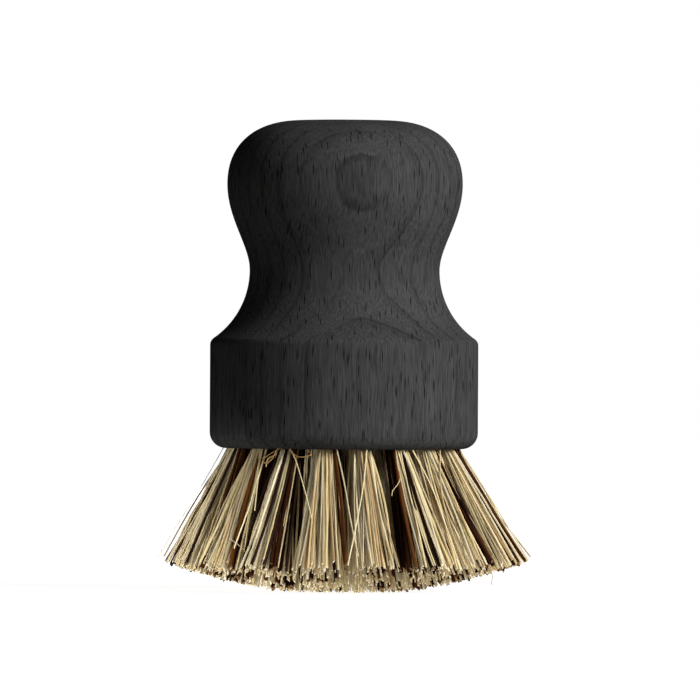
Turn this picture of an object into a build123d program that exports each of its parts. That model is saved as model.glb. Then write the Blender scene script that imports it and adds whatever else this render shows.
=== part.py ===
"""Palm brush: a turned beech knob with tufts of mixed plant fibre stapled into its underside.

The brush stands on its trimmed fibre tips at Z = 0 and its turning axis is Z. The handle is one
turned block. Each drilled hole in its underside leans outwards and holds one tuft: a bundle of
fibre folded over the crown of a wire staple, whose legs bite into the wood past the hole. The
tips are trimmed to a shallow dome, cut flat where the brush stands. Lengths are millimetres.
"""

import os
from dataclasses import dataclass
from math import asin, cos, degrees, pi, sin, sqrt

from build123d import *

# Turned handle, heights measured from its underside
block_diameter = 50.0
bottom_round = 3.0
wall_height = 19.2
shoulder_round = 1.6
waist_diameter = 35.4
waist_height = 33.2
knob_diameter = 43.9
knob_height = 49.3
handle_height = 61.1
crown_diameter = 17.2
waist_pull_share = 0.28
knob_underside_pull_share = 0.41
knob_side_pull_share = 0.7
crown_pull_share = 0.53

# Rings that each round stretch of the outline is turned in
bottom_rings = 3
shoulder_rings = 2
cove_rings = 9
neck_rings = 11
crown_rings = 13

# Tuft holes, in rings from the centre outwards, with flat sides that stand for their round wall
ring_counts = (1, 6, 12, 18)
ring_names = ("centre", "inner", "middle", "outer")
rim_land = 0.3
hole_diameter = 4.4
hole_depth = 9.0
hole_side_count = 8
drill_overrun = 2.0

# Trimmed fibre
bristle_length = 26.7
flare_diameter = 68.8
dome_radius = 88.0
trim_flat_depth = 0.5
tuft_clearance = 0.1
tip_gap = 0.15
strand_count_per_tuft = 12
strand_side_count = 3
strand_radius_share = 0.085
strand_margin_share = 0.02
strand_root_length = 0.8

# Staples of flattened wire
staple_width = 3.2
staple_wire_width = 0.8
staple_wire_thickness = 0.5
staple_seat = 1.6
staple_bite = 4.0
staple_point = 0.5
staple_clearance = 0.05

# Places that follow from the sizes above
block_radius = block_diameter / 2
outer_ring = len(ring_counts) - 1
outer_ring_radius = block_radius - bottom_round - rim_land - hole_diameter / 2
tuft_diameter = hole_diameter - 2 * tuft_clearance
tuft_flat_radius = tuft_diameter / 2 * cos(pi / hole_side_count)
strand_radius = strand_radius_share * tuft_diameter
root_spread = tuft_flat_radius - strand_radius - strand_margin_share * tuft_diameter
# Tip cells touch between rings, so the outermost tuft reaches half a ring pitch past its centre
tip_ring_pitch = (flare_diameter / 2 + tip_gap) / (outer_ring + 1 / 2)
tip_spread = tip_ring_pitch / 2 - strand_radius - tip_gap
golden_turn = pi * (3 - sqrt(5))


def on_dome(plan):
    """The point of the trimmed dome below a place in plan. It is below Z = 0 where the dome is cut flat."""
    drop = dome_radius - sqrt(dome_radius**2 - plan.length**2)
    return plan + Vector(0, 0, drop - trim_flat_depth)


@dataclass(frozen=True)
class Site:
    """One tuft: its ring, its number in the ring, and its place round the axis."""

    ring: int
    number: int

    @property
    def name(self):
        """The tuft's name, such as outer_07, or centre for the one on the axis."""
        only_one = ring_counts[self.ring] == 1
        return ring_names[self.ring] if only_one else f"{ring_names[self.ring]}_{self.number + 1:02d}"

    @property
    def turn(self):
        """Angle round the axis, half a step off the front, so that two tufts flank it."""
        return 2 * pi * (self.number + 1 / 2) / ring_counts[self.ring] - pi / 2

    @property
    def outward(self):
        """Unit vector from the axis to the tuft."""
        return Vector(cos(self.turn), sin(self.turn), 0)

    @property
    def sideways(self):
        """Unit vector along the ring."""
        return Vector(-sin(self.turn), cos(self.turn), 0)

    @property
    def mouth(self):
        """Centre of the hole's mouth, on the handle's underside."""
        return self.outward * (outer_ring_radius * self.ring / outer_ring) + Vector(0, 0, bristle_length)

    @property
    def aim(self):
        """Unit vector along the hole, out of its mouth and towards the middle of the tuft's tips."""
        return (on_dome(self.outward * (tip_ring_pitch * self.ring)) - self.mouth).normalized()

    @property
    def seat(self):
        """Plane of the hole's flat bottom, looking out of the mouth."""
        return Plane(origin=self.mouth - self.aim * hole_depth, x_dir=self.sideways, z_dir=self.aim)


sites = [Site(ring, number) for ring, count in enumerate(ring_counts) for number in range(count)]


def handle_curves():
    """The turned outline end to end, from the underside to the crown, each stretch with its rings."""
    waist_radius = waist_diameter / 2
    knob_radius = knob_diameter / 2
    crown_radius = crown_diameter / 2
    neck_height = knob_height - waist_height
    knob_rise = handle_height - knob_height
    # A cove that is upright at the waist and runs smoothly into the shoulder's round
    cove_width = block_radius - waist_radius
    cove_height = waist_height - wall_height
    centre_distance = (cove_width**2 + cove_height**2) / (2 * cove_width)
    cove_radius = centre_distance - shoulder_round
    shoulder_turn = degrees(asin(cove_height / centre_distance))
    waist = (waist_radius, waist_height)
    knob = (knob_radius, knob_height)
    bottom = CenterArc((block_radius - bottom_round, bottom_round), bottom_round, -90, 90)
    wall = Line((block_radius, bottom_round), (block_radius, wall_height))
    shoulder = CenterArc((block_radius - shoulder_round, wall_height), shoulder_round, 0, shoulder_turn)
    cove_centre = (waist_radius + cove_radius, waist_height)
    cove = CenterArc(cove_centre, cove_radius, 180 + shoulder_turn, -shoulder_turn)
    neck = Bezier(
        waist,
        (waist_radius, waist_height + waist_pull_share * neck_height),
        (knob_radius, knob_height - knob_underside_pull_share * neck_height),
        knob,
    )
    crown = Bezier(
        knob,
        (knob_radius, knob_height + knob_side_pull_share * knob_rise),
        (crown_radius + crown_pull_share * (knob_radius - crown_radius), handle_height),
        (crown_radius, handle_height),
    )
    top = Line((crown_radius, handle_height), (0, handle_height))
    return [
        (bottom, bottom_rings),
        (wall, 1),
        (shoulder, shoulder_rings),
        (cove, cove_rings),
        (neck, neck_rings),
        (crown, crown_rings),
        (top, 1),
    ]


def turned_block():
    """The handle as it leaves the lathe, before drilling, on its place above the bristles.

    Its round stretches are cut as rings of straight taper, close enough to read as smooth.
    """
    points = [curve @ (step / rings) for curve, rings in handle_curves() for step in range(rings)]
    outline = make_face(Polyline((0, 0), *points, (0, handle_height), close=True))
    return Pos(0, 0, bristle_length) * revolve(Plane.XZ * outline, axis=Axis.Z)


def drilled_hole(site):
    """The hole for one tuft, flat at its seat and running out through the underside."""
    section = site.seat * RegularPolygon(hole_diameter / 2, hole_side_count)
    return extrude(section, amount=hole_depth + drill_overrun)


def staple(site, clearance=0):
    """A flat wire staple astride one tuft, its legs driven into the wood past the hole's seat.

    A clearance grows it all round, which gives the room that it needs in the tuft and the wood.
    """
    outer = staple_width / 2 + clearance
    inner = staple_width / 2 - staple_wire_thickness - clearance
    leg_end = -staple_bite - clearance
    side = [
        (outer, staple_seat + staple_wire_thickness + clearance),
        (outer, leg_end + staple_point),
        (inner, leg_end),
        (inner, staple_seat - clearance),
    ]
    other_side = [(-x, y) for x, y in reversed(side)]
    across = Plane(origin=site.seat.origin, x_dir=site.sideways, z_dir=site.sideways.cross(site.aim))
    outline = make_face(Polyline(*side, *other_side, close=True))
    return extrude(across * outline, amount=staple_wire_width / 2 + clearance, both=True)


def strand(site, number):
    """One fibre strand, from inside the tuft's packed root straight to the trimmed dome.

    The strands start on a spiral of equal areas across the root and keep its pattern, wider, at
    the tips, so none crosses another. The last one leans straight outwards.
    """
    last = strand_count_per_tuft - 1
    share = sqrt((number + 1 / 2) / (last + 1 / 2))
    turn = (number - last) * golden_turn
    place = site.outward * (share * cos(turn)) + site.sideways * (share * sin(turn))
    root = site.mouth + place * root_spread
    tip = on_dome(site.outward * (tip_ring_pitch * site.ring) + place * tip_spread)
    # A strand whose tip would lie below the plane that the brush stands on ends at that plane
    reach = (tip - root) * min(1, root.Z / (root.Z - tip.Z))
    buried = reach.normalized() * strand_root_length
    base = Plane(origin=root - buried, x_dir=site.outward, z_dir=(0, 0, 1))
    section = base * RegularPolygon(strand_radius, strand_side_count)
    return Solid.extrude(section.face(), buried + reach)


def tuft(site):
    """One tuft: the packed root that fills its hole, with the strands that fan out of it."""
    section = site.seat * RegularPolygon(tuft_diameter / 2, hole_side_count)
    rod = extrude(section, amount=hole_depth + drill_overrun)
    root = split(rod, bisect_by=Plane.XY.offset(bristle_length), keep=Keep.TOP)
    strands = [strand(site, number) for number in range(strand_count_per_tuft)]
    return root + strands - staple(site, staple_clearance)


def handle():
    """The turned block, drilled for the tufts and pierced by the staples' legs."""
    holes = [drilled_hole(site) for site in sites]
    pierced = [staple(site, staple_clearance) for site in sites]
    return turned_block() - holes - pierced


def main():
    """Writes one STEP file for each node."""
    os.makedirs("parts", exist_ok=True)
    nodes = {"handle": handle()}
    for site in sites:
        nodes[f"tuft_{site.name}"] = tuft(site)
    for ring, name in enumerate(ring_names):
        nodes[f"staples_{name}"] = Compound([staple(site).solid() for site in sites if site.ring == ring])
    for name, shape in nodes.items():
        export_step(shape, f"parts/{name}.step")


main()
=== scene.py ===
"""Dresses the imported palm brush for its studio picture: black stained beech, union fibre, steel wire.

The handle and the tufts are made again as finer meshes, each in the place of its own solid. Sizes
are in millimetres up to the point where a mesh is filled, and in metres in the scene.
"""

import logging
from dataclasses import dataclass, field
from enum import Enum
from functools import partial
from math import atan, cos, pi, radians, sin, sqrt
from typing import Any, Callable

import bpy
import numpy as np
from mathutils import Euler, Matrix
from mathutils.geometry import delaunay_2d_cdt
from numpy.typing import NDArray

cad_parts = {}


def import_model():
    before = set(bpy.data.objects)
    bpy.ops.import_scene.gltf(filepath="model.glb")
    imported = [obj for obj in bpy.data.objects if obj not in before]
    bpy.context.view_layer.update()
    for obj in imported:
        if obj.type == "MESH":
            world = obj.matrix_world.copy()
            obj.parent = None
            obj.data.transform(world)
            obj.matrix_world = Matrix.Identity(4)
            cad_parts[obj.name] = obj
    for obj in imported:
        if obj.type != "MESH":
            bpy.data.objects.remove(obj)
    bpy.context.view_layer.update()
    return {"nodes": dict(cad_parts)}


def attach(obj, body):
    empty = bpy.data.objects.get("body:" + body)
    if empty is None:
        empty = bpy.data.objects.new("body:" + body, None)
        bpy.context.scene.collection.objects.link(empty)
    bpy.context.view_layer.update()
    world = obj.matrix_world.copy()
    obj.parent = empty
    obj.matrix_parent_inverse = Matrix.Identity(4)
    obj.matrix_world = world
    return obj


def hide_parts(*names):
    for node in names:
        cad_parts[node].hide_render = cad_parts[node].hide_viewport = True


Array = NDArray[np.float64]
Indices = NDArray[np.int64]
Place = tuple[float, float, float]
Span = tuple[float, float]
# The span that a value comes in, and the one that it is taken to
Remap = tuple[float, float, float, float]
Inputs = dict[str | int, Any] | list[Any] | tuple[Any, ...]
AddNode = Callable[..., bpy.types.Node]

log = logging.getLogger("palm_brush")

METRES = 0.001
ONE_BODY = "root"
# Edges that turn by more degrees than this are shaded crisp
CREASE = 50.0


# Shared helpers


def linear(colour: str) -> tuple[float, float, float, float]:
    """Turns an sRGB hex colour into the linear values that the shaders take.

    Each channel above the toe follows ((c + 0.055) / 1.055) to the power 2.4.

    Args:
        colour: the colour as six hex digits after a hash sign.

    Returns:
        Linear red, green, blue and an alpha of one.
    """
    channels = np.array([int(colour[at : at + 2], 16) for at in (1, 3, 5)]) / 255
    values = np.where(channels <= 0.04045, channels / 12.92, ((channels + 0.055) / 1.055) ** 2.4)
    return (float(values[0]), float(values[1]), float(values[2]), 1.0)


def add_node(tree: bpy.types.NodeTree, kind: str, inputs: Inputs = (), **settings: Any) -> bpy.types.Node:
    """Adds one node, with its settings and with its sockets filled or linked.

    Args:
        tree: the node tree that gets the node.
        kind: the node's type name without its ShaderNode, such as Math.
        inputs: values, output sockets, or nodes whose first output in use is meant, in the order
            of the node's inputs, or by the name or number of the input that takes them.
        settings: the node's own properties.

    Returns:
        The new node.
    """
    node = tree.nodes.new(f"ShaderNode{kind}")
    for name, value in settings.items():
        setattr(node, name, value)
    for name, value in inputs.items() if isinstance(inputs, dict) else enumerate(inputs):
        if isinstance(value, bpy.types.Node):
            value = next(output for output in value.outputs if output.enabled)
        if isinstance(value, bpy.types.NodeSocket):
            tree.links.new(value, node.inputs[name])
        else:
            node.inputs[name].default_value = value
    return node


def empty_material(name: str) -> bpy.types.Material:
    """Makes a node material that holds nothing yet.

    Args:
        name: the finish that it is named for.

    Returns:
        The material.
    """
    material = bpy.data.materials.new(name)
    material.use_nodes = True
    material.node_tree.nodes.clear()
    return material


def unit(vectors: Array) -> Array:
    """Scales vectors, kept along the last axis, to a length of one."""
    return vectors / np.linalg.norm(vectors, axis=-1, keepdims=True)


def closed_rows(rows: int, around: int) -> Indices:
    """Quads between the neighbouring rows of a tube, whose points are numbered row by row.

    Args:
        rows: how many rows of points there are.
        around: how many points go round in a row.

    Returns:
        Corner numbers, with axes for the row, the side and the corner.
    """
    row, side = np.meshgrid(np.arange(rows - 1) * around, np.arange(around), indexing="ij")
    following = (side + 1) % around
    return np.stack([row + side, row + following, row + around + following, row + around + side], axis=-1)


def make_piece(
    name: str, points: Array, faces: list[Indices], material: bpy.types.Material
) -> bpy.types.Object:
    """Fills a mesh and puts it into the scene as an object at the origin.

    Args:
        name: the piece's name.
        points: its corners, one row each, in millimetres.
        faces: blocks of faces, each block an array of corner numbers with one face a row.
        material: the finish of the whole piece.

    Returns:
        The new object, smooth shaded, with its crisp edges marked.
    """
    mesh = bpy.data.meshes.new(name)
    mesh.from_pydata((points * METRES).tolist(), [], [face for block in faces for face in block.tolist()])
    mesh.update()
    mesh.shade_smooth()
    mesh.set_sharp_from_angle(angle=radians(CREASE))
    mesh.materials.append(material)
    piece = bpy.data.objects.new(name, mesh)
    bpy.context.scene.collection.objects.link(piece)
    return piece


# Finishes

# The span that the value of a noise texture keeps to
NOISE: Span = (0.3, 0.7)


@dataclass(frozen=True)
class BlackStainedBeech:
    """Beech, turned, sanded and stained black with no lacquer over it.

    It gives the eye a dull charcoal that still shows the tree: soft growth rings, which the turning
    cuts into ovals on the knob, and short dark rays that stand upright all over it. It has no
    shine: the white studio would show in it as a veil over the black.

    Ring widths, rays and streaks have their sizes in millimetres. A ring shade is a part of the
    ring's width with how much of the wood is late wood there, and the ring ends say so for its
    start and its end.
    """

    early_wood: str = "#3f3f3f"
    late_wood: str = "#292929"
    ray: str = "#121212"
    pith_turn: float = 9.5
    pith_distance: float = 65.0
    first_ring: float = 44.1
    ring_width: float = 3.7
    front_ring_width: float = 6.2
    ring_ends: Span = (0.65, 0.75)
    ring_shades: tuple[Span, ...] = ((0.045, 0.05), (0.7, 0.0), (0.81, 0.26), (0.93, 0.36), (0.975, 0.75))
    ring_fade: Remap = (0.38, 0.56, 0.32, 1.0)
    ring_wander: float = 1.8
    wander_rise: float = 0.35
    cloud_scale: float = 0.12
    cloud_levels: Remap = (*NOISE, 0.9, 1.08)
    trunk_lean: float = 0.012
    ray_spacing: Place = (0.48, 3.6, 6.0)
    ray_edge: Remap = (0.27, 0.11, 0.0, 1.0)
    ray_crossing: Remap = (0.2, 0.6, 0.22, 1.0)
    ray_depth: float = 0.05
    streak_size: Place = (0.15, 0.3, 3.2)
    streak_levels: Remap = (*NOISE, 0.55, 1.35)
    roughness: Remap = (*NOISE, 0.76, 0.64)

    def rings(self, add: AddNode, grain: bpy.types.Node, sway: bpy.types.Node) -> bpy.types.Node:
        """The part of late wood, ring by ring.

        The pith stood in front of the block, so each ring is darkest on its side away from there.
        A ring's part is the distance from the pith, less the first ring's, over the ring width,
        without its whole part.

        Args:
            add: adds a node to the material.
            grain: places, with X along the rings and Y across them.
            sway: a slow noise, by which some stretches of a ring took the stain less than others.

        Returns:
            The node with the part.
        """
        pith = (0.0, self.pith_distance, 0.0)
        from_pith = add("VectorMath", [grain, (1.0, 1.0, self.trunk_lean), pith], operation="MULTIPLY_ADD")
        distance = add("VectorMath", [from_pith], operation="LENGTH")
        beyond = add("Math", [distance, self.first_ring], operation="SUBTRACT")
        # The ring in front of the first one was a wide one, so the larger of two counts is taken
        narrow = add("Math", [beyond, self.ring_width], operation="DIVIDE")
        wide = add("Math", [beyond, self.front_ring_width], operation="DIVIDE")
        years = add("Math", [narrow, wide], operation="MAXIMUM")
        ring = add("ValToRGB", {"Fac": add("Math", [years], operation="FRACT")})
        for element, level in zip(ring.color_ramp.elements, self.ring_ends):
            element.color = (level, level, level, 1.0)
        for position, level in self.ring_shades:
            ring.color_ramp.elements.new(position).color = (level, level, level, 1.0)
        fade = add("MapRange", [sway, *self.ring_fade])
        return add("Math", [ring, fade], operation="MULTIPLY")

    def rays(self, add: AddNode, grain: bpy.types.Node, normal: bpy.types.NodeSocket) -> bpy.types.Node:
        """How strongly a ray shows: the near parts of cells that are thin, deep and tall.

        A ray is a sheet on edge: dark where the face crosses it, and faint where the face runs along it.

        Args:
            add: adds a node to the material.
            grain: places, with X along the rings and Y across them.
            normal: the way that the face looks.

        Returns:
            The node with the strength.
        """
        cells = add("VectorMath", [grain, self.ray_spacing], operation="DIVIDE")
        rays = add("TexVoronoi", {"Vector": cells, "Scale": 1.0})
        ray_mask = add("MapRange", [rays, *self.ray_edge], interpolation_type="SMOOTHSTEP")
        turn = radians(self.pith_turn)
        facing = add("VectorMath", [normal, (-sin(turn), cos(turn), 0.0)], operation="DOT_PRODUCT")
        facing = add("Math", [facing], operation="ABSOLUTE")
        crossed = add("MapRange", [facing, *self.ray_crossing])
        return add("Math", [ray_mask, crossed], operation="MULTIPLY")

    def material(self) -> bpy.types.Material:
        """Builds the wood on Object coordinates, so that the grain runs through the block.

        Returns:
            The finished material.
        """
        material = empty_material("black_stained_beech")
        add = partial(add_node, material.node_tree)
        coordinates = add("TexCoord")
        place = add("VectorMath", {0: coordinates.outputs["Object"], "Scale": 1 / METRES}, operation="SCALE")

        # The tree grew a little crooked: the grain wanders by parts of a millimetre, slowly with height
        upright = add("VectorMath", [place, (1.0, 1.0, self.wander_rise)], operation="MULTIPLY")
        sway = add("TexNoise", {"Vector": upright, "Scale": self.cloud_scale, "Detail": 2.0})
        centred = add("VectorMath", [sway.outputs["Color"], (0.5, 0.5, 0.5)], operation="SUBTRACT")
        wander = (self.ring_wander, self.ring_wander, 0.0)
        wandered = add("VectorMath", [centred, wander, place], operation="MULTIPLY_ADD")
        grain = add("Mapping", {"Vector": wandered, "Rotation": (0.0, 0.0, -radians(self.pith_turn))})
        ring_part = self.rings(add, grain, sway)
        ray_part = self.rays(add, grain, coordinates.outputs["Normal"])

        # Vessels as faint upright streaks, which are wider than real ones so that they show, and wide
        # soft clouds in the stain
        cells = add("VectorMath", [grain, self.streak_size], operation="DIVIDE")
        streaks = add("TexNoise", {"Vector": cells, "Scale": 0.7, "Detail": 3.0, "Roughness": 0.65})
        cloud = add("TexNoise", {"Vector": place, "Scale": self.cloud_scale, "Detail": 2.0})
        streak_level = add("MapRange", [streaks, *self.streak_levels])
        cloud_level = add("MapRange", [cloud, *self.cloud_levels])
        rough = add("MapRange", [streaks, *self.roughness])
        shades = {"Factor": ring_part, "A": linear(self.early_wood), "B": linear(self.late_wood)}
        wood = add("Mix", shades, data_type="RGBA")
        wood = add("VectorMath", {0: wood, "Scale": streak_level}, operation="SCALE")
        wood = add("VectorMath", {0: wood, "Scale": cloud_level}, operation="SCALE")
        colour = add("Mix", {"Factor": ray_part, "A": wood, "B": linear(self.ray)}, data_type="RGBA")
        relief = add("Math", [ray_part, -1.0, streaks], operation="MULTIPLY_ADD")
        bump = add("Bump", {"Strength": 0.6, "Distance": self.ray_depth * METRES, "Height": relief})
        skin = {"Base Color": colour, "Roughness": rough, "Specular IOR Level": 0.0, "Normal": bump}
        add("OutputMaterial", {"Surface": add("BsdfPrincipled", skin)})
        return material


@dataclass(frozen=True)
class UnionFibre:
    """Union fibre: pale agave leaf fibre mixed with dark palm fibre, dried, and cut to length.

    It gives the eye dull straw and near black side by side, each strand of one colour with small
    blotches along it, and a faint shine on its skin.
    """

    blotch_length: float = 2.4
    blotch_turn: float = 1.3
    strand_step: float = 17.0
    blotch_levels: Remap = (*NOISE, 0.82, 1.12)
    blotch_relief: float = 0.02
    roughness: float = 0.5
    shine: float = 0.04

    def material(self) -> bpy.types.Material:
        """Builds the fibre's skin from each strand's own tint and place along it.

        Returns:
            The finished material.
        """
        material = empty_material("union_fibre")
        add = partial(add_node, material.node_tree)
        tint = add("Attribute", attribute_name="strand_tint")
        grain = add("Attribute", attribute_name="strand_grain")
        # Blotches reach part of the way round and some way along, and differ from strand to strand
        stretch = (self.blotch_turn, 1 / self.blotch_length, self.strand_step)
        stretched = add("VectorMath", [grain.outputs["Vector"], stretch], operation="MULTIPLY")
        blotches = add("TexNoise", {"Vector": stretched, "Scale": 1.0, "Detail": 3.0})
        level = add("MapRange", [blotches, *self.blotch_levels])
        colour = add("VectorMath", {0: tint, "Scale": level}, operation="SCALE")
        bump = add("Bump", {"Strength": 0.4, "Distance": self.blotch_relief * METRES, "Height": blotches})
        skin = {"Base Color": colour, "Roughness": self.roughness, "Specular IOR Level": self.shine}
        add("OutputMaterial", {"Surface": add("BsdfPrincipled", {**skin, "Normal": bump})})
        return material


@dataclass(frozen=True)
class DrawnSteelWire:
    """Bright steel wire, drawn and flattened, as staples are bent from.

    It gives the eye a grey metal with fine lines from the die, which are wider than real ones so
    that they show. It is seen only with the tufts out.
    """

    steel: str = "#b9bab8"
    line_spacing: float = 0.08
    line_rise: float = 0.1
    roughness: Remap = (*NOISE, 0.28, 0.46)

    def material(self) -> bpy.types.Material:
        """Builds the metal with its die lines upright on Object coordinates.

        Returns:
            The finished material.
        """
        material = empty_material("drawn_steel_wire")
        add = partial(add_node, material.node_tree)
        coordinates = add("TexCoord")
        scale = (1 / METRES, 1 / METRES, self.line_rise / METRES)
        lines = add("Mapping", {"Vector": coordinates.outputs["Object"], "Scale": scale})
        noise = add("TexNoise", {"Vector": lines, "Scale": 0.5 / self.line_spacing, "Detail": 2.0})
        rough = add("MapRange", [noise, *self.roughness])
        metal = {"Base Color": linear(self.steel), "Metallic": 1.0, "Roughness": rough}
        add("OutputMaterial", {"Surface": add("BsdfPrincipled", metal)})
        return material


# Where the tufts sit


class Ring(Enum):
    """The rings of tufts from the centre outwards, each with the number of tufts in it."""

    CENTRE = 1
    INNER = 6
    MIDDLE = 12
    OUTER = 18

    @property
    def step(self) -> int:
        """How many rings lie inside this one."""
        return list(Ring).index(self)


@dataclass(frozen=True)
class DrillPlan:
    """The holes' places and leans, the dome that they aim at, and the one that the fibre is trimmed to."""

    underside: float = 26.7
    outer_radius: float = 19.5
    hole_diameter: float = 4.4
    hole_depth: float = 9.0
    tip_ring_pitch: float = 9.871
    dome_radius: float = 88.0
    trim_radius: float = 98.0
    trim_flat_depth: float = 0.5

    def dome_height(self, plan: Array) -> Array:
        """Height of the trimmed dome over places in plan: a sphere's cap, cut flat at zero.

        Args:
            plan: places, with X and Y along the last axis.

        Returns:
            The height over each place.
        """
        reach = np.sum(plan[..., :2] ** 2, axis=-1)
        height = self.trim_radius - np.sqrt(self.trim_radius**2 - reach) - self.trim_flat_depth
        return np.maximum(height, 0.0)


@dataclass(frozen=True)
class TuftSite:
    """One hole of the drill plan with the tuft in it."""

    ring: Ring
    number: int
    plan: DrillPlan

    @property
    def name(self) -> str:
        """The node's name, such as tuft_outer_07."""
        ring_name = f"tuft_{self.ring.name.lower()}"
        return ring_name if self.ring is Ring.CENTRE else f"{ring_name}_{self.number + 1:02d}"

    @property
    def seed(self) -> int:
        """A number of the tuft's own, for what varies from tuft to tuft."""
        return 100 * self.ring.step + self.number

    @property
    def mix(self) -> "TuftMix | None":
        """How the tuft is filled, where the front shows it."""
        return FRONT_MIXES.get(self.number) if self.ring is Ring.OUTER else None

    @property
    def outward(self) -> Array:
        """Unit vector from the axis to the tuft, half a step off the front."""
        turn = 2 * pi * (self.number + 0.5) / self.ring.value - pi / 2
        return np.array([cos(turn), sin(turn), 0.0])

    @property
    def sideways(self) -> Array:
        """Unit vector along the ring."""
        return np.array([-self.outward[1], self.outward[0], 0.0])

    @property
    def mouth(self) -> Array:
        """Centre of the hole's mouth."""
        radius = self.plan.outer_radius * self.ring.step / Ring.OUTER.step
        return self.outward * radius + np.array([0.0, 0.0, self.plan.underside])

    @property
    def tip_centre(self) -> Array:
        """Middle of the tuft's trimmed tips: its place in plan, lifted by the dome's cap.

        Returns:
            The dome's own point, which can lie just below zero.
        """
        plan = self.outward * (self.plan.tip_ring_pitch * self.ring.step)
        drop = self.plan.dome_radius - sqrt(self.plan.dome_radius**2 - float(plan @ plan))
        return plan + np.array([0.0, 0.0, drop - self.plan.trim_flat_depth])

    @property
    def aim(self) -> Array:
        """Unit vector along the hole, out of its mouth."""
        return unit(self.tip_centre - self.mouth)

    @property
    def across(self) -> Array:
        """Unit vector square to the hole and to the ring."""
        return np.cross(self.aim, self.sideways)


def all_sites(plan: DrillPlan) -> list[TuftSite]:
    """Lists the sites of every tuft, ring by ring."""
    return [TuftSite(ring, number, plan) for ring in Ring for number in range(ring.value)]


# The handle


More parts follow.
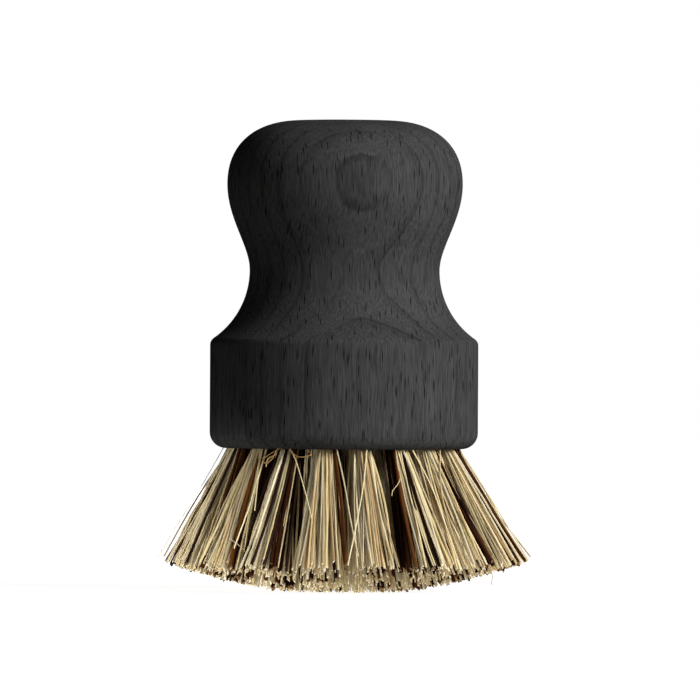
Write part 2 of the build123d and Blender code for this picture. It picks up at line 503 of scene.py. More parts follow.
@dataclass(frozen=True)
class TurnedHandle:
    """The turned knob: its outline from the lathe, and the drilled underside.

    The pulls are how far the neck's and the crown's curves run on straight at their ends, as parts
    of their height or width. The steps are how many points each stretch of the outline has.
    """

    plan: DrillPlan
    finish: BlackStainedBeech = field(default_factory=BlackStainedBeech)
    block_diameter: float = 50.0
    bottom_round: float = 3.0
    wall_height: float = 19.2
    shoulder_round: float = 1.6
    waist_diameter: float = 35.4
    waist_height: float = 33.2
    knob_diameter: float = 43.9
    knob_height: float = 49.3
    handle_height: float = 61.1
    crown_diameter: float = 17.2
    waist_pull: float = 0.28
    knob_underside_pull: float = 0.41
    knob_side_pull: float = 0.7
    crown_pull: float = 0.53
    bottom_steps: int = 14
    wall_steps: int = 14
    shoulder_steps: int = 10
    cove_steps: int = 44
    neck_steps: int = 40
    crown_steps: int = 44
    top_steps: int = 8
    turns: int = 256
    hole_turns: int = 32

    def arc(self, centre: Span, radius: float, start: float, end: float, steps: int) -> Array:
        """Points of a circle's arc without its last: the centre plus radius times cosine and sine."""
        angles = np.linspace(start, end, steps, endpoint=False)
        return np.column_stack([centre[0] + radius * np.cos(angles), centre[1] + radius * np.sin(angles)])

    def sweep_curve(self, corners: list[Span], steps: int) -> Array:
        """Points of a cubic Bezier curve without its last: its corners weighed by Bernstein's terms.

        Args:
            corners: the curve's four control points.
            steps: how many points to give.

        Returns:
            One point a row.
        """
        part = np.linspace(0, 1, steps, endpoint=False)[:, None]
        weights = np.hstack([(1 - part) ** 3, 3 * part * (1 - part) ** 2, 3 * part**2 * (1 - part), part**3])
        return weights @ np.array(corners)

    def outline(self) -> Array:
        """The turned outline from the underside's rim to just short of the axis on the crown.

        Returns:
            Distance from the axis and height above the underside, one point a row.
        """
        block, waist, knob = self.block_diameter / 2, self.waist_diameter / 2, self.knob_diameter / 2
        crown = self.crown_diameter / 2
        neck_height = self.knob_height - self.waist_height
        knob_rise = self.handle_height - self.knob_height
        cove_width, cove_height = block - waist, self.waist_height - self.wall_height
        centre_distance = (cove_width**2 + cove_height**2) / (2 * cove_width)
        cove_radius = centre_distance - self.shoulder_round
        shoulder_turn = float(np.arcsin(cove_height / centre_distance))
        wall = np.linspace(self.bottom_round, self.wall_height, self.wall_steps, endpoint=False)
        neck = [
            (waist, self.waist_height),
            (waist, self.waist_height + self.waist_pull * neck_height),
            (knob, self.knob_height - self.knob_underside_pull * neck_height),
            (knob, self.knob_height),
        ]
        dome = [
            (knob, self.knob_height),
            (knob, self.knob_height + self.knob_side_pull * knob_rise),
            (crown + self.crown_pull * (knob - crown), self.handle_height),
            (crown, self.handle_height),
        ]
        top = np.linspace(crown, 0, self.top_steps, endpoint=False)
        bottom, shoulder = self.bottom_round, self.shoulder_round
        shoulder_arc = ((block - shoulder, self.wall_height), shoulder, 0, shoulder_turn)
        cove_arc = ((waist + cove_radius, self.waist_height), cove_radius, pi + shoulder_turn, pi)
        return np.vstack(
            [
                self.arc((block - bottom, bottom), bottom, -pi / 2, 0, self.bottom_steps),
                np.column_stack([np.full_like(wall, block), wall]),
                self.arc(*shoulder_arc, self.shoulder_steps),
                self.arc(*cove_arc, self.cove_steps),
                self.sweep_curve(neck, self.neck_steps),
                self.sweep_curve(dome, self.crown_steps),
                np.column_stack([top, np.full_like(top, self.handle_height)]),
            ]
        )

    def skin(self) -> tuple[Array, list[Indices]]:
        """The turned skin: the outline's radius times cosine and sine of the turn, and its height.

        Returns:
            The points, the pole last, and the faces.
        """
        outline = self.outline()
        rows = len(outline)
        turn = np.arange(self.turns) * (2 * pi / self.turns)
        points = np.empty((rows, self.turns, 3))
        points[..., 0] = outline[:, :1] * np.cos(turn)
        points[..., 1] = outline[:, :1] * np.sin(turn)
        points[..., 2] = outline[:, 1:] + self.plan.underside
        pole = np.array([[0.0, 0.0, self.handle_height + self.plan.underside]])
        quads = closed_rows(rows, self.turns).reshape(-1, 4)
        last = (rows - 1) * self.turns + np.arange(self.turns)
        fan = np.column_stack([last, np.roll(last, -1), np.full(self.turns, rows * self.turns)])
        return np.vstack([points.reshape(-1, 3), pole]), [quads, fan]

    def hole_loops(self) -> tuple[Array, Array]:
        """The round seats of the holes, and the ovals where they run out through the underside.

        A seat's point is its centre plus the hole's radius times cosine and sine along the ring and
        across it. The mouth's point is that point slid along the hole to the underside.

        Returns:
            The mouths and the seats, each with an axis for the hole, the turn and X, Y, Z.
        """
        sites = all_sites(self.plan)
        turn = (np.arange(self.hole_turns) * (2 * pi / self.hole_turns))[None, :, None]
        aims, sideways, across = np.swapaxes([[s.aim, s.sideways, s.across] for s in sites], 0, 1)[:, :, None]
        centres = np.array([site.mouth for site in sites])[:, None] - aims * self.plan.hole_depth
        seats = centres + self.plan.hole_diameter / 2 * (np.cos(turn) * sideways + np.sin(turn) * across)
        mouths = seats + aims * ((self.plan.underside - seats[..., 2:]) / aims[..., 2:])
        return mouths, seats

    def underside(self, rim: Array, mouths: Array) -> Indices:
        """The flat underside between the rim and the holes' mouths, in triangles that look down.

        A triangle whose corners all lie on one mouth fills that hole, so it is left out.

        Args:
            rim: the skin's first row.
            mouths: the holes' ovals.

        Returns:
            Triangles that number the rim's points first and then the mouths' points.
        """
        flat = np.vstack([rim, mouths.reshape(-1, 3)])[:, :2]
        hole_numbers = np.repeat(np.arange(len(mouths)) + 1, self.hole_turns)
        loop_of = np.concatenate([np.zeros(len(rim), int), hole_numbers])
        starts = np.concatenate([[0], len(rim) + np.arange(len(mouths)) * self.hole_turns])
        sizes = np.concatenate([[len(rim)], np.full(len(mouths), self.hole_turns)])
        here = np.arange(len(flat))
        ahead = starts[loop_of] + (here - starts[loop_of] + 1) % sizes[loop_of]
        # Kind 1 keeps what lies inside the rim, and points nearer than a millionth count as one
        edges = np.column_stack([here, ahead]).tolist()
        _, _, found, origins, _, _ = delaunay_2d_cdt(flat.tolist(), edges, [], 1, 1e-6)
        source = np.array([origin[0] for origin in origins])
        triangles = source[np.array(found)]
        loops = loop_of[triangles]
        in_hole = (loops[:, 0] > 0) & (loops[:, 0] == loops[:, 1]) & (loops[:, 1] == loops[:, 2])
        return triangles[~in_hole][:, ::-1]

    def build(self) -> bpy.types.Object:
        """Builds the handle as one closed mesh and puts it in the place of its solid.

        Returns:
            The dressed handle.
        """
        skin, skin_faces = self.skin()
        mouths, seats = self.hole_loops()
        count = len(mouths) * self.hole_turns
        mouth_start, seat_start = len(skin), len(skin) + count
        flat = self.underside(skin[: self.turns], mouths)
        flat = np.where(flat < self.turns, flat, flat - self.turns + mouth_start)
        number = np.arange(count).reshape(len(mouths), self.hole_turns)
        following = np.roll(number, -1, axis=1)
        corners = [mouth_start + number, mouth_start + following, seat_start + following, seat_start + number]
        walls = np.stack(corners, axis=-1).reshape(-1, 4)
        points = np.vstack([skin, mouths.reshape(-1, 3), seats.reshape(-1, 3)])
        piece = make_piece(
            "beech_handle", points, [*skin_faces, flat, walls, seat_start + number], self.finish.material()
        )
        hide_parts("handle")
        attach(piece, ONE_BODY)
        log.info("handle: %d faces, %d holes", len(piece.data.polygons), len(mouths))
        return piece


# The fibre


class FibreKind(Enum):
    """The two fibres of the mix."""

    PALE = "pale"
    DARK = "dark"


@dataclass(frozen=True)
class FibreStock:
    """One kind of fibre: how much of it a tuft holds, its widths, how flat it is, and its colours."""

    kind: FibreKind
    per_tuft: int
    count_variation: float
    widths: Span
    flatness: Span
    colours: tuple[str, ...]
    colour_shares: tuple[float, ...]
    # The cut end's colour is a paler cut face, painted lighter still as painted light on ends that face down
    cut_end_with_painted_light: str


# The steepest slant of a cut end, and the radians over which waves start
SLANT = 1.4
PHASES = 6.0
# Fibre stays this far above the plane that the brush stands on
LOWEST = 0.005
# The least Z of a unit vector that counts as nearly upright
UPRIGHT = 0.9

PALE_FIBRE = FibreStock(
    kind=FibreKind.PALE,
    per_tuft=58,
    count_variation=0.1,
    widths=(0.27, 0.55),
    flatness=(0.55, 0.9),
    colours=("#ebddb9", "#e6d3a8", "#dfcb9b", "#d7c28d", "#c9b792", "#d5b584"),
    colour_shares=(0.26, 0.27, 0.16, 0.11, 0.1, 0.1),
    cut_end_with_painted_light="#fbf0cf",
)
DARK_FIBRE = FibreStock(
    kind=FibreKind.DARK,
    per_tuft=12,
    count_variation=0.4,
    widths=(0.5, 0.9),
    flatness=(0.6, 0.9),
    colours=("#1f0e05", "#331808", "#46240d", "#603816"),
    colour_shares=(0.44, 0.33, 0.17, 0.06),
    cut_end_with_painted_light="#7a5c3e",
)


@dataclass(frozen=True)
class TuftMix:
    """How a tuft is filled: its dark fibre, as a multiple of the usual, and the side where that lies.

    The side is a turn in degrees from the tuft's right, as seen from outside, towards its inner side.
    """

    dark: float
    side: float


# The outer tufts that the front shows, by number, with the dark fibre where the brush has it
FRONT_MIXES = {
    13: TuftMix(1.6, 160.0),
    14: TuftMix(1.3, 10.0),
    15: TuftMix(2.2, -60.0),
    16: TuftMix(1.2, -10.0),
    17: TuftMix(0.5, 0.0),
    0: TuftMix(1.3, -20.0),
    1: TuftMix(1.9, 190.0),
    2: TuftMix(1.3, 0.0),
    3: TuftMix(0.9, 0.0),
    4: TuftMix(1.1, 180.0),
}


@dataclass(frozen=True)
class StrandBundle:
    """Strands that share one mesh, all with as many stations along them.

    The last four values are parts of a strand's strip of the bake map: the room beside it and at
    its ends, and the place and size of its end faces.
    """

    paths: Array
    widths: Array
    thicknesses: Array
    tints: Array
    cut_tints: Array
    spins: Array
    slants: Array
    strip_inset: float = 0.1
    run_inset: float = 0.03
    end_centre: float = 0.015
    end_half: Span = (0.35, 0.01)

    def lengths(self) -> Array:
        """How many millimetres of its strand lie before each station."""
        steps = np.diff(self.paths, axis=1, prepend=self.paths[:, :1])
        return np.cumsum(np.linalg.norm(steps, axis=2), axis=1)

    def frames(self) -> tuple[Array, Array, Array]:
        """Tangents along the strands and two vectors square to them and to each other.

        The tangent is the difference of the neighbouring stations. The thickness direction is the
        tangent's cross product with a reference that the strand's spin turns about its own run, and
        the width direction is the cross product of those two.

        Returns:
            The tangents, the width directions and the thickness directions.
        """
        tangents = unit(np.gradient(self.paths, axis=1))
        run = unit(self.paths[:, -1] - self.paths[:, 0])
        # A strand that is nearly upright is measured against X, and any other against Z
        helper = np.where(np.abs(run[:, 2:]) > UPRIGHT, [[1.0, 0.0, 0.0]], [[0.0, 0.0, 1.0]])
        first = unit(np.cross(run, helper))
        second = np.cross(run, first)
        reference = first * np.cos(self.spins)[:, None] + second * np.sin(self.spins)[:, None]
        thick = unit(np.cross(tangents, reference[:, None]))
        wide = np.cross(thick, tangents)
        return tangents, wide, thick

    def skin(self, sides: int) -> Array:
        """The strands' skins: each station plus width and thickness times cosine and sine round it.

        The last station is cut at a slant: its points slide along the strand with their cosine.
        Nothing goes below the plane that the brush stands on.

        Args:
            sides: how many points go round a strand.

        Returns:
            Points with axes for the strand, the station, the side and X, Y, Z.
        """
        tangents, wide, thick = self.frames()
        round_turn = np.arange(sides) * (2 * pi / sides)
        cosines, sines = np.cos(round_turn)[:, None], np.sin(round_turn)[:, None]
        half_width, half_thickness = self.widths[..., None, None] / 2, self.thicknesses[..., None, None] / 2
        points = self.paths[:, :, None] + half_width * cosines * wide[:, :, None]
        points = points + half_thickness * sines * thick[:, :, None]
        points[:, -1] += self.slants[:, None, None] * half_width[:, -1] * cosines * tangents[:, -1, None]
        points[..., 2] = np.maximum(points[..., 2], LOWEST)
        return points

    def bake_map(self, sides: int) -> Array:
        """The face corners' places on the bake map, in the order of the faces.

        Each strand has a strip to itself, one after another along U, with its run along V and its
        two ends in the strip's corners.

        Args:
            sides: how many points go round a strand.

        Returns:
            U and V, one corner a row.
        """
        strands, stations = self.paths.shape[:2]
        lengths = self.lengths()
        run = lengths / lengths[:, -1:]
        across = (np.arange(sides)[:, None] + np.array([0, 1, 1, 0])) / sides
        along = np.arange(stations - 1)[:, None] + np.array([0, 0, 1, 1])
        number = np.arange(strands)[:, None]
        walls = np.empty((strands, stations - 1, sides, 4, 2))
        strip = self.strip_inset + (1 - 2 * self.strip_inset) * across
        walls[..., 0] = (number[..., None, None] + strip) / strands
        walls[..., 1] = self.run_inset + (1 - 2 * self.run_inset) * run[:, along][:, :, None]
        turn = np.arange(sides) * (2 * pi / sides)
        tips = np.empty((strands, sides, 2))
        tips[..., 0] = (number + 0.5 + self.end_half[0] * np.cos(turn)) / strands
        tips[..., 1] = 1 - self.end_centre + self.end_half[1] * np.sin(turn)
        roots = tips[:, ::-1].copy()
        roots[..., 1] -= 1 - 2 * self.end_centre
        return np.concatenate([walls.reshape(-1, 2), tips.reshape(-1, 2), roots.reshape(-1, 2)])

    def piece(self, name: str, sides: int, material: bpy.types.Material) -> bpy.types.Object:
        """Builds the strands as one mesh of closed tubes, with what their finish reads.

        That is the bake map, each strand's tint, and its grain: the cosine of the turn round it, the
        millimetres along it, and its number.

        Args:
            name: the piece's name.
            sides: how many points go round a strand.
            material: the fibre's finish.

        Returns:
            The new object.
        """
        points = self.skin(sides)
        strands, stations = self.paths.shape[:2]
        starts = np.arange(strands) * stations * sides
        quads = starts[:, None, None, None] + closed_rows(stations, sides)
        first = starts[:, None] + np.arange(sides)
        ends = [first + (stations - 1) * sides, first[:, ::-1]]
        piece = make_piece(name, points.reshape(-1, 3), [quads.reshape(-1, 4), *ends], material)
        layer = piece.data.uv_layers.new(name="OFBake")
        layer.uv.foreach_set("vector", self.bake_map(sides).ravel())

        # Tints stand on the corners of the faces, so that a cut end has its own: for the tufts a paler cut
        # face, lifted further by painted light
        corners_each = (stations - 1) * sides * 4
        cut = np.repeat(self.cut_tints, sides, axis=0)
        tint = np.concatenate([np.repeat(self.tints, corners_each, axis=0), cut, cut])
        layer = piece.data.color_attributes.new(name="strand_tint", type="FLOAT_COLOR", domain="CORNER")
        layer.data.foreach_set("color", tint.ravel())
        grain = np.empty(points.shape)
        grain[..., 0] = np.cos(np.arange(sides) * (2 * pi / sides))
        grain[..., 1] = self.lengths()[:, :, None]
        grain[..., 2] = np.arange(strands)[:, None, None]
        layer = piece.data.attributes.new("strand_grain", "FLOAT_VECTOR", "POINT")
        layer.data.foreach_set("vector", grain.ravel())
        return piece


@dataclass(frozen=True)
class TuftFill:
    """The fibre that fills a tuft, one strand a row, with its place on a disc of radius one."""

    places: Array
    widths: Array
    flatness: Array
    tints: Array
    cut_tints: Array


@dataclass(frozen=True)
class FibreTufts:
    """The tufts: fibres folded under a staple in each hole, packed at its mouth, fanned to the tips.

    The jitters, mixing, bow, wave and twist are standard deviations. The depth steps are heights
    above the hole's seat, each with how far a strand is out from under the staple by then.
    """

    plan: DrillPlan
    stocks: tuple[FibreStock, ...] = (PALE_FIBRE, DARK_FIBRE)
    seed: int = 4100
    brightness: Span = (0.72, 1.02)
    cut_brightness: Span = (0.7, 1.0)
    disc_jitter: float = 0.035
    root_radius: float = 2.1
    tip_radius: float = 5.0
    tip_jitter: float = 0.45
    mixing: float = 0.5
    rim_radius: float = 31.0
    rim_give: float = 0.85
    combed: float = 0.8
    stray_share: float = 0.05
    stray_jitter: float = 1.2
    ragged: float = 0.36
    bow: float = 0.3
    wave: float = 0.05
    wave_cycles: Span = (1.0, 3.2)
    twist: float = 0.22
    swell: float = 0.09
    swell_pace: Span = (0.5, 1.6)
    staple_half_width: float = 0.45
    depth_steps: tuple[Span, ...] = ((0.45, 0.12), (1.0, 0.62), (1.9, 1.0), (3.4, 1.0))
    gather_depth: float = 2.4
    inset_share: float = 0.6
    parting: float = 0.62
    least_room: float = 0.2
    straighten: float = 0.3
    bend_share: float = 0.4
    tip_clearance: float = 0.02
    out_stations: int = 8
    sides: int = 6

    def tints(self, stock: FibreStock, count: int, random: np.random.Generator) -> Array:
        """Picks a colour for each strand of one stock and varies its brightness.

        Args:
            stock: the kind of fibre.
            count: how many strands of it there are.
            random: the tuft's own random numbers.

        Returns:
            Linear colours, one strand a row.
        """
        palette = np.array([linear(colour) for colour in stock.colours])
        picked = palette[random.choice(len(palette), count, p=np.array(stock.colour_shares))]
        picked[:, :3] *= random.uniform(*self.brightness, (count, 1))
        return picked

    def strands_of(self, stock: FibreStock, site: TuftSite, random: np.random.Generator) -> int:
        """Draws how many strands of one stock a tuft holds.

        Args:
            stock: the kind of fibre.
            site: the tuft's place.
            random: the tuft's own random numbers.

        Returns:
            The number of strands.
        """
        varied = random.uniform(1 - stock.count_variation, 1 + stock.count_variation)
        if site.mix and stock.kind is FibreKind.DARK:
            varied = site.mix.dark
        return round(stock.per_tuft * varied)

    def disc(self, count: int, random: np.random.Generator) -> Array:
        """Spreads places over a disc of radius one: a sunflower spiral, a little disturbed.

        Args:
            count: how many places.
            random: the tuft's own random numbers.

        Returns:
            Places along the ring and across it, one a row.
        """
        number = np.arange(count)
        radius = np.sqrt((number + 0.5) / count)
        turn = number * (pi * (3 - sqrt(5))) + random.uniform(0, 2 * pi)
        places = np.column_stack([radius * np.cos(turn), radius * np.sin(turn)])
        return places + random.normal(0, self.disc_jitter, places.shape)

    def fill(self, site: TuftSite, random: np.random.Generator) -> TuftFill:
        """Picks the strands of one tuft and gives them their places, with the dark fibre in a clump.

        A place's score is how far it lies towards the dark side, plus a chance part. The dark fibre
        comes last among the stocks, and takes the places that score highest.

        Args:
            site: the tuft's place.
            random: the tuft's own random numbers.

        Returns:
            The tuft's strands.
        """
        stocks = [(stock, self.strands_of(stock, site, random)) for stock in self.stocks]
        count = sum(number for _, number in stocks)
        places = self.disc(count, random)
        lean = radians(site.mix.side) if site.mix else random.uniform(0, 2 * pi)
        score = places @ np.array([cos(lean), sin(lean)]) + random.normal(0, self.mixing, count)
        widths = np.concatenate(
            [random.triangular(s.widths[0], np.mean(s.widths), s.widths[1], n) for s, n in stocks]
        )
        flatness = np.concatenate([random.uniform(*stock.flatness, number) for stock, number in stocks])
        tints = np.concatenate([self.tints(stock, number, random) for stock, number in stocks])
        # A cut end takes its stock's cut colour, paler than the strand and lifted further as painted light on
        # the downward ends
        cut = np.concatenate([np.tile(linear(stock.cut_end_with_painted_light), (number, 1)) for stock, number in stocks])
        cut[:, :3] *= random.uniform(*self.cut_brightness, (count, 1))
        return TuftFill(places[np.argsort(score)], widths, flatness, tints, cut)

    def in_hole(self, site: TuftSite, fill: TuftFill) -> Array:
        """The strands' stations in the hole, from its seat to its mouth.

        A strand stays on its own side of the staple and turns in under it. Above the staple it is
        gathered to its place, which it has at the mouth.

        Args:
            site: the tuft's place.
            fill: the tuft's strands.

        Returns:
            Points with axes for the strand, the station and X, Y, Z.
        """
        sideways, across, aim = site.sideways, site.across, site.aim
        half = fill.widths[:, None] / 2
        root = fill.places * (self.root_radius - half * self.inset_share)
        beside = self.staple_half_width + half + np.abs(root[:, 1:]) * self.parting
        limit = np.sqrt(np.maximum(self.root_radius**2 - root[:, :1] ** 2, self.least_room))
        clear = np.clip(np.sign(root[:, 1:]) * beside, -limit, limit)
        seat = site.mouth - aim * self.plan.hole_depth
        stations = [
            seat + aim * height + root[:, :1] * sideways + clear * share * across
            for height, share in self.depth_steps
        ]
        stations.append(site.mouth - aim * self.gather_depth + root[:, :1] * sideways + root[:, 1:] * across)
        mouth = site.mouth + root[:, :1] * sideways + root[:, 1:] * across
        stations.append(mouth + aim * ((self.plan.underside - mouth[:, 2:]) / aim[2]))
        return np.stack(stations, axis=1)

    def tips(self, site: TuftSite, places: Array, mouth: Array, random: np.random.Generator) -> Array:
        """The strands' tips: each on its own point of the dome, or a little short of it.

        The places are turned by the tuft's twist and spread over a wider disc. What reaches beyond
        the rim is drawn in to a share of itself, and all tips lie combed a little along X.

        Args:
            site: the tuft's place.
            places: where the strands stand on a disc of radius one.
            mouth: where they leave the hole.
            random: the tuft's own random numbers.

        Returns:
            One tip a row.
        """
        twist = random.normal(0, self.twist)
        turned = places @ np.array([[cos(twist), sin(twist)], [-sin(twist), cos(twist)]])
        spread = turned * self.tip_radius + random.normal(0, self.tip_jitter, places.shape)
        strays = random.random(len(places)) < self.stray_share
        spread[strays] += random.normal(0, self.stray_jitter, (int(strays.sum()), 2))
        tip = site.tip_centre + spread[:, :1] * site.sideways + spread[:, 1:] * site.outward
        reach = np.linalg.norm(tip[:, :2], axis=1, keepdims=True)
        drawn_in = np.minimum(reach, self.rim_radius + (reach - self.rim_radius) * self.rim_give)
        tip[:, :2] *= drawn_in / reach
        tip[:, 0] += self.combed
        tip[:, 2] = self.plan.dome_height(tip) + self.tip_clearance
        run = tip - mouth
        short = random.exponential(self.ragged, len(places))
        return mouth + run * (1 - short / np.linalg.norm(run, axis=1))[:, None]

    def outside(self, site: TuftSite, mouth: Array, tip: Array, random: np.random.Generator) -> Array:
        """The strands' stations outside the wood, without those at the mouth.

        A strand is a quadratic curve that leaves along the hole and ends at its tip, plus a bow,
        which is a half sine wave, and a fine wave.

        Args:
            site: the tuft's place.
            mouth: where the strands leave the hole.
            tip: where they end.
            random: the tuft's own random numbers.

        Returns:
            Points with axes for the strand, the station and X, Y, Z.
        """
        count = len(tip)
        part = np.linspace(0, 1, self.out_stations + 1)[None, 1:, None]
        length = np.linalg.norm(tip - mouth, axis=1)[:, None]
        leaving = unit(site.aim * self.straighten + unit(tip - mouth))
        middle = (mouth + leaving * length * self.bend_share)[:, None]
        out = (1 - part) ** 2 * mouth[:, None] + 2 * part * (1 - part) * middle + part**2 * tip[:, None]
        bow = random.normal(0, self.bow, (count, 1, 2)) * np.sin(pi * part)
        cycles = random.uniform(*self.wave_cycles, (count, 1, 1))
        phase = random.uniform(0, PHASES, (count, 1, 1))
        wave = random.normal(0, self.wave, (count, 1, 2)) * np.sin(2 * pi * cycles * part + phase)
        drift = bow + wave * np.sin(pi * part) ** 0.5
        return out + drift[..., :1] * site.sideways + drift[..., 1:] * site.across

    def bundle(self, site: TuftSite) -> StrandBundle:
        """Works out the strands of one tuft, which swell and thin by a sine wave of their stations.

        Args:
            site: the tuft's place.

        Returns:
            The tuft's strands.
        """
        random = np.random.default_rng(self.seed + site.seed)
        fill = self.fill(site, random)
        inside = self.in_hole(site, fill)
        mouth = inside[:, -1]
        tip = self.tips(site, fill.places, mouth, random)
        paths = np.concatenate([inside, self.outside(site, mouth, tip, random)], axis=1)
        count, stations = paths.shape[:2]
        pace, start = random.uniform(*self.swell_pace, (count, 1)), random.uniform(0, PHASES, (count, 1))
        swell = 1 + self.swell * np.sin(np.arange(stations)[None] * pace + start)
        return StrandBundle(
            paths=paths,
            widths=fill.widths[:, None] * swell,
            thicknesses=(fill.widths * fill.flatness)[:, None] * swell,
            tints=fill.tints,
            cut_tints=fill.cut_tints,
            spins=random.uniform(0, 2 * pi, count),
            slants=random.uniform(-SLANT, SLANT, count),
        )

    def build(self, material: bpy.types.Material) -> list[bpy.types.Object]:
        """Builds every tuft in the place of its own solid.

        Args:
            material: the fibre's finish.

        Returns:
            The dressed tufts.
        """
        pieces = []
        for site in all_sites(self.plan):
            piece = self.bundle(site).piece(f"fibre_{site.name}", self.sides, material)
            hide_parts(site.name)
            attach(piece, ONE_BODY)
            pieces.append(piece)
        log.info("tufts: %d pieces, %d faces", len(pieces), sum(len(piece.data.polygons) for piece in pieces))
        return pieces


@dataclass(frozen=True)
class LooseFibre:
    """One loose fibre on the front of the fan: the places it passes, as X and height, and its look."""

    places: tuple[Span, ...]
    width: float
    colour: str
    lift: float = 0.35


LOOSE_FIBRES = (
    # This fibre is painted near white, paler than it is, as painted light on a strand that lies in shade
    LooseFibre(((-22.3, 26.9), (-26.8, 19.0), (-30.9, 12.4), (-34.6, 6.2)), 0.17, "#f6efdf", 0.1),
    LooseFibre(
        ((-11.6, 26.9), (-13.4, 25.9), (-14.9, 24.7), (-14.1, 24.1), (-12.9, 25.2)), 0.27, "#b08d57", 1.2
    ),
    LooseFibre(((-12.2, 26.9), (-12.8, 25.6), (-13.9, 24.9), (-14.3, 23.5)), 0.27, "#c29f68", 1.0),
    LooseFibre(
        ((-9.9, 26.9), (-8.9, 25.6), (-7.8, 25.3), (-6.5, 25.5), (-5.9, 26.0), (-6.6, 26.4)),
        0.25,
        "#a9854f",
        1.1,
    ),
    LooseFibre(
        ((9.6, 26.9), (10.0, 23.6), (10.5, 21.9), (10.0, 20.4), (9.1, 19.3), (8.9, 18.3)), 0.2, "#cbb384"
    ),
    LooseFibre(((-10.1, 26.9), (-8.9, 24.9), (-7.6, 20.9), (-6.1, 15.6), (-5.8, 14.1)), 0.27, "#dccb9c"),
    LooseFibre(((4.3, 26.9), (3.7, 20.5), (2.4, 13.0), (0.9, 5.7)), 0.31, "#e2d4ae"),
    LooseFibre(((-1.3, 26.9), (0.2, 20.3), (1.4, 13.6), (2.8, 7.3)), 0.26, "#d8c9a4"),
    LooseFibre(((-15.4, 26.9), (-15.8, 20.9), (-16.3, 15.4)), 0.26, "#cdbd93"),
    LooseFibre(((-14.2, 26.9), (-16.9, 17.4), (-20.0, 8.6)), 0.3, "#e2d2a6"),
    LooseFibre(((-20.9, 10.2), (-19.7, 9.5), (-18.2, 8.3)), 0.16, "#b8ae97"),
    LooseFibre(((12.6, 26.9), (16.2, 20.0), (18.8, 13.0), (21.0, 6.8)), 0.28, "#ecd9ae"),
    LooseFibre(((17.8, 26.9), (18.1, 19.0), (19.9, 12.0), (22.5, 5.6)), 0.26, "#dcc494"),
    LooseFibre(((27.2, 5.2), (27.5, 3.6), (27.3, 2.0)), 0.16, "#8f6d3f"),
)


@dataclass(frozen=True)
class LooseFibres:
    """Fibres that have worked loose: straight ones that cross the tufts, and curled wisps at the wood."""

    plan: DrillPlan
    fibres: tuple[LooseFibre, ...] = LOOSE_FIBRES
    root_reach: float = 22.0
    flare: float = 0.55
    flatness: float = 0.7
    seed: int = 77
    stations: int = 25
    sides: int = 6

    def path(self, fibre: LooseFibre) -> Array:
        """A smooth path through a fibre's places, laid on the cone that the fan's outside makes.

        Between two places it is a Catmull-Rom curve. The cone's radius grows from the mouths down by
        the flare times the drop, and the path lies in front of it by the fibre's lift.

        Args:
            fibre: the loose fibre.

        Returns:
            Points evenly spaced in the curve's own parameter, one a row.
        """
        places = np.array(fibre.places)
        ends = np.vstack([2 * places[0] - places[1], places, 2 * places[-1] - places[-2]])
        where = np.linspace(0, len(places) - 1, self.stations)
        span = np.minimum(where.astype(int), len(places) - 2)
        part = (where - span)[:, None]
        before, start, end, after = (ends[span + shift] for shift in range(4))
        curve = 0.5 * (
            2 * start
            + (end - before) * part
            + (2 * before - 5 * start + 4 * end - after) * part**2
            + (3 * start - before - 3 * end + after) * part**3
        )
        cone = self.root_reach + self.flare * (self.plan.underside - curve[:, 1])
        depth = np.sqrt(np.maximum(cone**2 - curve[:, 0] ** 2, 0.0)) + fibre.lift
        return np.column_stack([curve[:, 0], -depth, curve[:, 1]])

    def build(self, material: bpy.types.Material) -> bpy.types.Object:
        """Builds all loose fibres as one piece.

        Args:
            material: the fibre's finish.

        Returns:
            The piece.
        """
        random = np.random.default_rng(self.seed)
        count = len(self.fibres)
        widths = np.array([fibre.width for fibre in self.fibres])[:, None] * np.ones((1, self.stations))
        tints = np.array([linear(fibre.colour) for fibre in self.fibres])
        strands = StrandBundle(
            paths=np.array([self.path(fibre) for fibre in self.fibres]),
            widths=widths,
            thicknesses=widths * self.flatness,
            tints=tints,
            cut_tints=tints,
            spins=random.uniform(0, 2 * pi, count),
            slants=random.uniform(-SLANT, SLANT, count),
        )
        piece = strands.piece("loose_fibres", self.sides, material)
        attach(piece, ONE_BODY)
        log.info("loose fibres: %d", count)
        return piece


@dataclass(frozen=True)
class Staples:
    """The wire staples that hold the tufts, as the solids have them."""

    finish: DrawnSteelWire = field(default_factory=DrawnSteelWire)

    def dress(self, nodes: dict[str, bpy.types.Object]) -> None:
        """Gives each ring's staples their wire finish.

        Args:
            nodes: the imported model's nodes by name.
        """
        material = self.finish.material()
        for ring in Ring:
            node = nodes[f"staples_{ring.name.lower()}"]
            node.data.materials.clear()
            node.data.materials.append(material)
            log.info("%s: dressed", node.name)


# The studio


@dataclass(frozen=True)
class Softbox:
    """A square soft light that looks at the brush: its place and side in metres, and its watts."""

    name: str
    place: Place
    size: float
    power: float


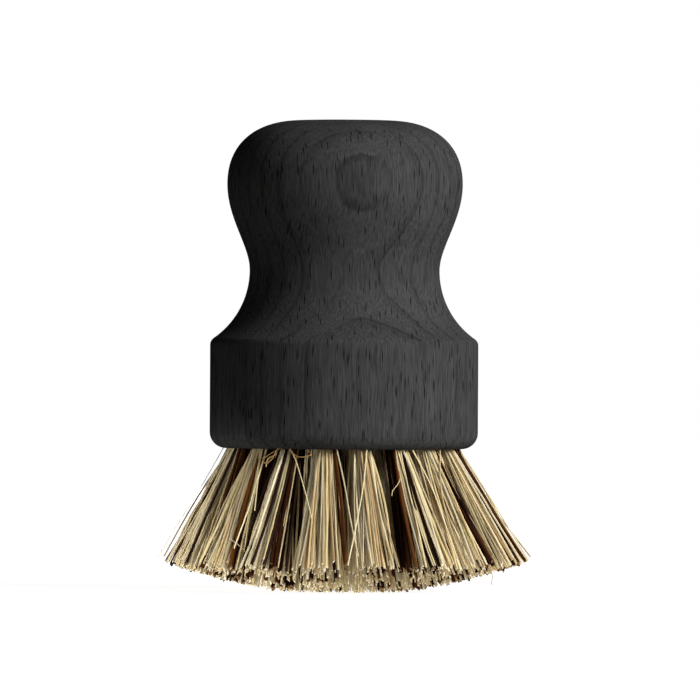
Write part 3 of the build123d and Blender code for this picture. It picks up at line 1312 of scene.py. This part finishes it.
@dataclass(frozen=True)
class Studio:
    """A pale floor with a pool of light, soft lights from the right and behind, two weak ones, and a camera.

    The camera's place, its sensor, the floor's reach and the width of one point of the picture are in
    millimetres. The rest is in metres, also the distances from the brush over which the glows change.
    """

    scale: float = 0.18636
    picture: float = 700.0
    sensor: float = 36.0
    camera_distance: float = 1800.0
    camera_side: float = 1.08
    camera_height: float = 45.06
    camera_roll: float = -0.3
    clip_end: float = 20.0
    softboxes: tuple[Softbox, ...] = (
        Softbox("key_softbox", (0.97, -0.72, 0.58), 0.6, 25.5),
        Softbox("fill_card", (-0.1, -1.2, 0.3), 0.8, 0.75),
        Softbox("back_softbox", (0.1, 1.3, 0.4), 0.6, 10.0),
    )
    middle: Place = (0.0, 0.0, 0.045)
    low_place: Place = (-0.43, -0.35, 0.025)
    low_target: Place = (-0.018, -0.004, 0.001)
    low_beam: float = 7.0
    low_size: float = 0.008
    low_power: float = 12.0
    ambient: float = 0.01
    paper: str = "#9c9c9a"
    paper_glow: Remap = (0.1, 0.3, 0.92, 1.0)
    painted_light_pool: Remap = (0.034, 0.058, 1.0, 0.0)
    floor_reach: float = 3000.0

    def camera(self) -> None:
        """Puts a long lens level with the middle of the picture, in front of the brush."""
        camera = bpy.data.cameras.new("studio_camera")
        camera.sensor_width = self.sensor
        camera.lens = self.sensor * self.camera_distance / (self.scale * self.picture)
        camera.clip_end = self.clip_end
        holder = bpy.data.objects.new("studio_camera", camera)
        place = np.array([self.camera_side, -self.camera_distance, self.camera_height])
        holder.location = (place * METRES).tolist()
        holder.rotation_euler = Euler((pi / 2, radians(self.camera_roll), 0.0), "XYZ")
        bpy.context.scene.collection.objects.link(holder)
        bpy.context.scene.camera = holder
        log.info("camera: %.0f mm lens", camera.lens)

    def hang(self, light: bpy.types.Light, place: Place, target: Place) -> None:
        """Hangs a lamp and turns it to look at a target.

        Args:
            light: the lamp.
            place: where it hangs, in metres.
            target: the point that it looks at, in metres.
        """
        holder = bpy.data.objects.new(light.name, light)
        holder.location = place
        look = np.array(target) - np.array(place)
        flat = float(np.hypot(look[0], look[1]))
        tilt, turn = pi / 2 + atan(look[2] / flat), float(np.arctan2(-look[0], look[1]))
        holder.rotation_euler = Euler((tilt, 0.0, turn), "XYZ")
        bpy.context.scene.collection.objects.link(holder)

    def lamps(self) -> None:
        """Hangs the softboxes, and a narrow lamp low on the left that lifts the shaded side of the fibre."""
        for box in self.softboxes:
            light = bpy.data.lights.new(box.name, "AREA")
            light.size = box.size
            light.energy = box.power
            self.hang(light, box.place, self.middle)
        light = bpy.data.lights.new("low_lamp", "SPOT")
        light.spot_size = radians(self.low_beam)
        light.spot_blend = 1.0
        light.shadow_soft_size = self.low_size
        light.energy = self.low_power
        self.hang(light, self.low_place, self.low_target)

    def seen_rays(self, add: AddNode) -> bpy.types.Node:
        """One for rays from the camera and for those mirrored or let through, and nought for the rest.

        Args:
            add: adds a node to the tree.

        Returns:
            The node with the answer.
        """
        rays = add("LightPath").outputs
        bent = add("Math", [rays["Is Glossy Ray"], rays["Is Transmission Ray"]], operation="MAXIMUM")
        return add("Math", [rays["Is Camera Ray"], bent], operation="MAXIMUM")

    def world(self) -> None:
        """A dim even surround that shows as plain white to the camera and in reflections."""
        world = bpy.data.worlds.new("studio")
        bpy.context.scene.world = world
        world.use_nodes = True
        world.node_tree.nodes.clear()
        add = partial(add_node, world.node_tree)
        strength = add("MapRange", [self.seen_rays(add), 0.0, 1.0, self.ambient, 1.0])
        surround = add("Background", {"Color": linear("#ffffff"), "Strength": strength})
        add("OutputWorld", {"Surface": surround})

    def floor(self) -> None:
        """A pale matt floor. It reads as white to the camera, keeps the brush's shadow, and glows round the
        brush as a painted pool of light.
        """
        material = empty_material("pale_paper_floor")
        add = partial(add_node, material.node_tree)
        seen = self.seen_rays(add)
        distance = add("VectorMath", [add("TexCoord").outputs["Object"]], operation="LENGTH")
        white = add("MapRange", [distance, *self.paper_glow], interpolation_type="SMOOTHSTEP")
        # Round the brush the floor glows as a painted pool of light, which lights the fibre from below by
        # rays that the camera doesn't see
        pool = add("MapRange", [distance, *self.painted_light_pool], interpolation_type="SMOOTHSTEP")
        shown = add("Math", [seen, white], operation="MULTIPLY")
        unseen = add("Math", [1.0, seen], operation="SUBTRACT")
        strength = add("Math", [pool, unseen, shown], operation="MULTIPLY_ADD")
        glow = add("Emission", {"Color": linear("#ffffff"), "Strength": strength})
        paper = add("BsdfDiffuse", {"Color": linear(self.paper)})
        add("OutputMaterial", {"Surface": add("AddShader", [glow, paper])})
        corners = np.array([[-1.0, -1.0, 0.0], [1.0, -1.0, 0.0], [1.0, 1.0, 0.0], [-1.0, 1.0, 0.0]])
        make_piece("studio_floor", corners * self.floor_reach, [np.array([[0, 1, 2, 3]])], material)

    def build(self) -> None:
        """Builds the floor, the surround, the lamps and the camera."""
        bpy.context.scene.view_settings.view_transform = "Standard"
        self.floor()
        self.world()
        self.lamps()
        self.camera()
        log.info("studio: floor, surround and %d lamps", len(self.softboxes) + 1)


def main() -> None:
    """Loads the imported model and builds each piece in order."""
    logging.basicConfig(level=logging.INFO, format="%(name)s: %(message)s")
    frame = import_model()
    plan = DrillPlan()
    TurnedHandle(plan).build()
    fibre = UnionFibre().material()
    FibreTufts(plan).build(fibre)
    LooseFibres(plan).build(fibre)
    Staples().dress(frame["nodes"])
    Studio().build()


if __name__ == "__main__":
    main()
